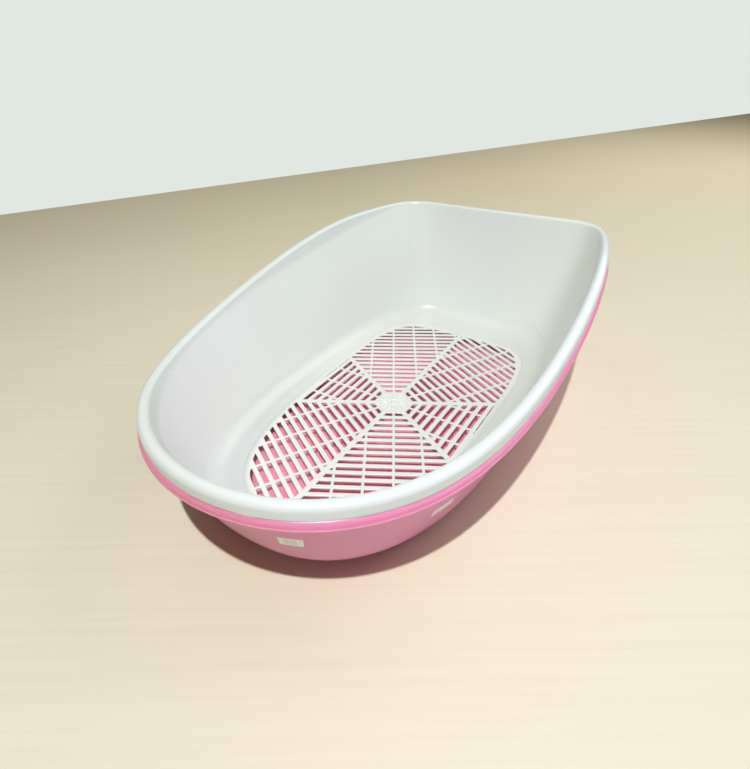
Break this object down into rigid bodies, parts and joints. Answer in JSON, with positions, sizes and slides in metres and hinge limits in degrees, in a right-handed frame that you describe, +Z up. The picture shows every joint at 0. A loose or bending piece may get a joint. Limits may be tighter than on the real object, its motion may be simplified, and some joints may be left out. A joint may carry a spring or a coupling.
{
  "type": "sifting litter box",
  "caption": "Oval litter pan with a low front, a high square back and a slotted sieve floor, nested on the lip of a matching catch tray and lifted out to sift.",
  "frame": {"origin": "middle of the bounding box's underside, on the surface the tray stands on", "axes": "+Y to the high back, -Y to the low front, +X to the right seen from the front, +Z up"},
  "size_m": [0.328, 0.5146, 0.156],
  "materials": {
    "pink_plastic": "glossy moulded pink plastic",
    "white_plastic": "glossy moulded white plastic, faintly cool",
    "sieve_plastic": "moulded white plastic, a little softer in gloss than the pan",
    "front_label_paper": "bare white paper label",
    "side_label_paper": "bare white paper label"
  },
  "bodies": {
    "tray": {"base_tray": "pink_plastic", "label_front": "front_label_paper", "label_side": "side_label_paper"},
    "pan": {"sifting_pan": "white_plastic", "sieve_panel": "sieve_plastic"}
  },
  "joints": [
    {"name": "pan_lift", "type": "slide", "parent": "tray", "child": "pan", "axis": [0, 0, 1], "range_m": [0, 0.16]}
  ]
}
